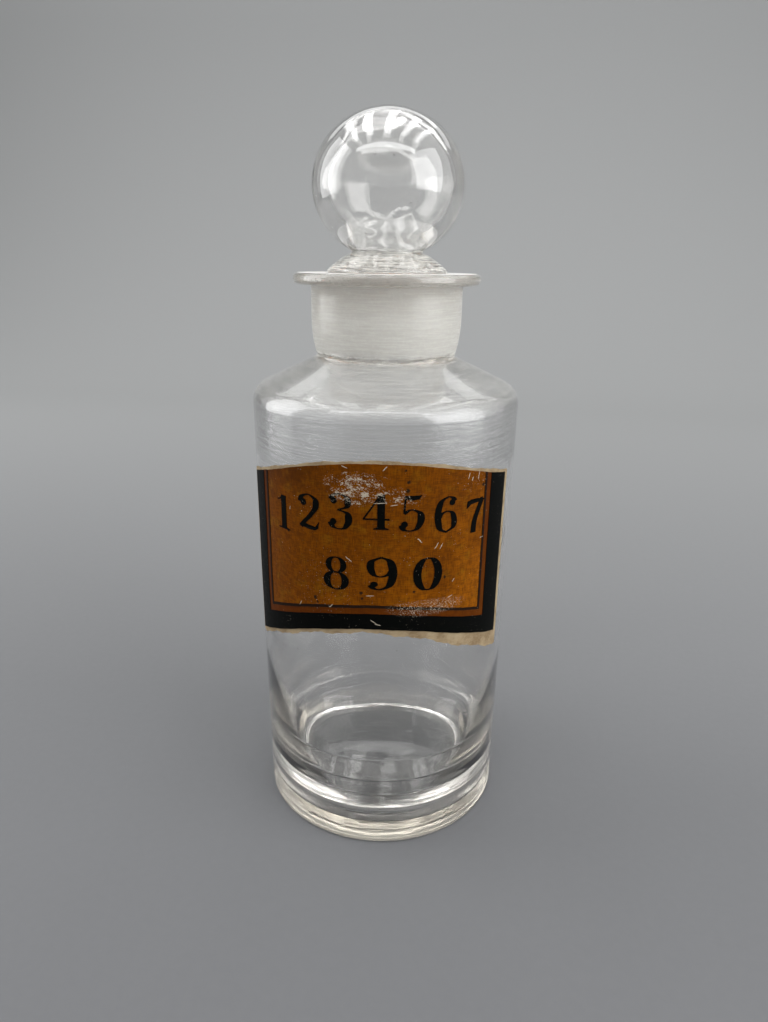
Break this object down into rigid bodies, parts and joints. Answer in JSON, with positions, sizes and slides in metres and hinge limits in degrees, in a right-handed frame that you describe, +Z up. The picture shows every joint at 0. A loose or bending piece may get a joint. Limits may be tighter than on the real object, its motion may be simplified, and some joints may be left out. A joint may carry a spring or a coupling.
{
  "type": "apothecary bottle",
  "caption": "Clear glass apothecary shop-round bottle with a ground-in hollow ball stopper that lifts out, and an arched gilt paper label with a black border.",
  "frame": {"origin": "middle of the resting ring under the base, on the bottle's axis", "axes": "+Z up along the bottle's axis; the middle of the label faces -Y; +X is to the right when looking at the label"},
  "size_m": [0.095, 0.0954, 0.2526],
  "materials": {
    "bottle_glass": "fire-polished, lightly scuffed, with a ground bore",
    "stopper_glass": "fire-polished ball, ground plug",
    "paper": "aged, stained, torn at the foot",
    "gilding": "varnished gold leaf, scratched and darkened",
    "border_paint": "varnished black paint, worn",
    "rule_paint": "thin dark paint line"
  },
  "bodies": {
    "bottle": {"bottle": "bottle_glass", "label_paper": "paper", "label_gilding": "gilding", "label_border": "border_paint", "label_rule": "rule_paint"},
    "stopper": {"stopper": "stopper_glass"}
  },
  "joints": [
    {"name": "stopper_lift", "type": "slide", "parent": "bottle", "child": "stopper", "axis": [0, 0, 1], "range_m": [0, 0.08]}
  ]
}
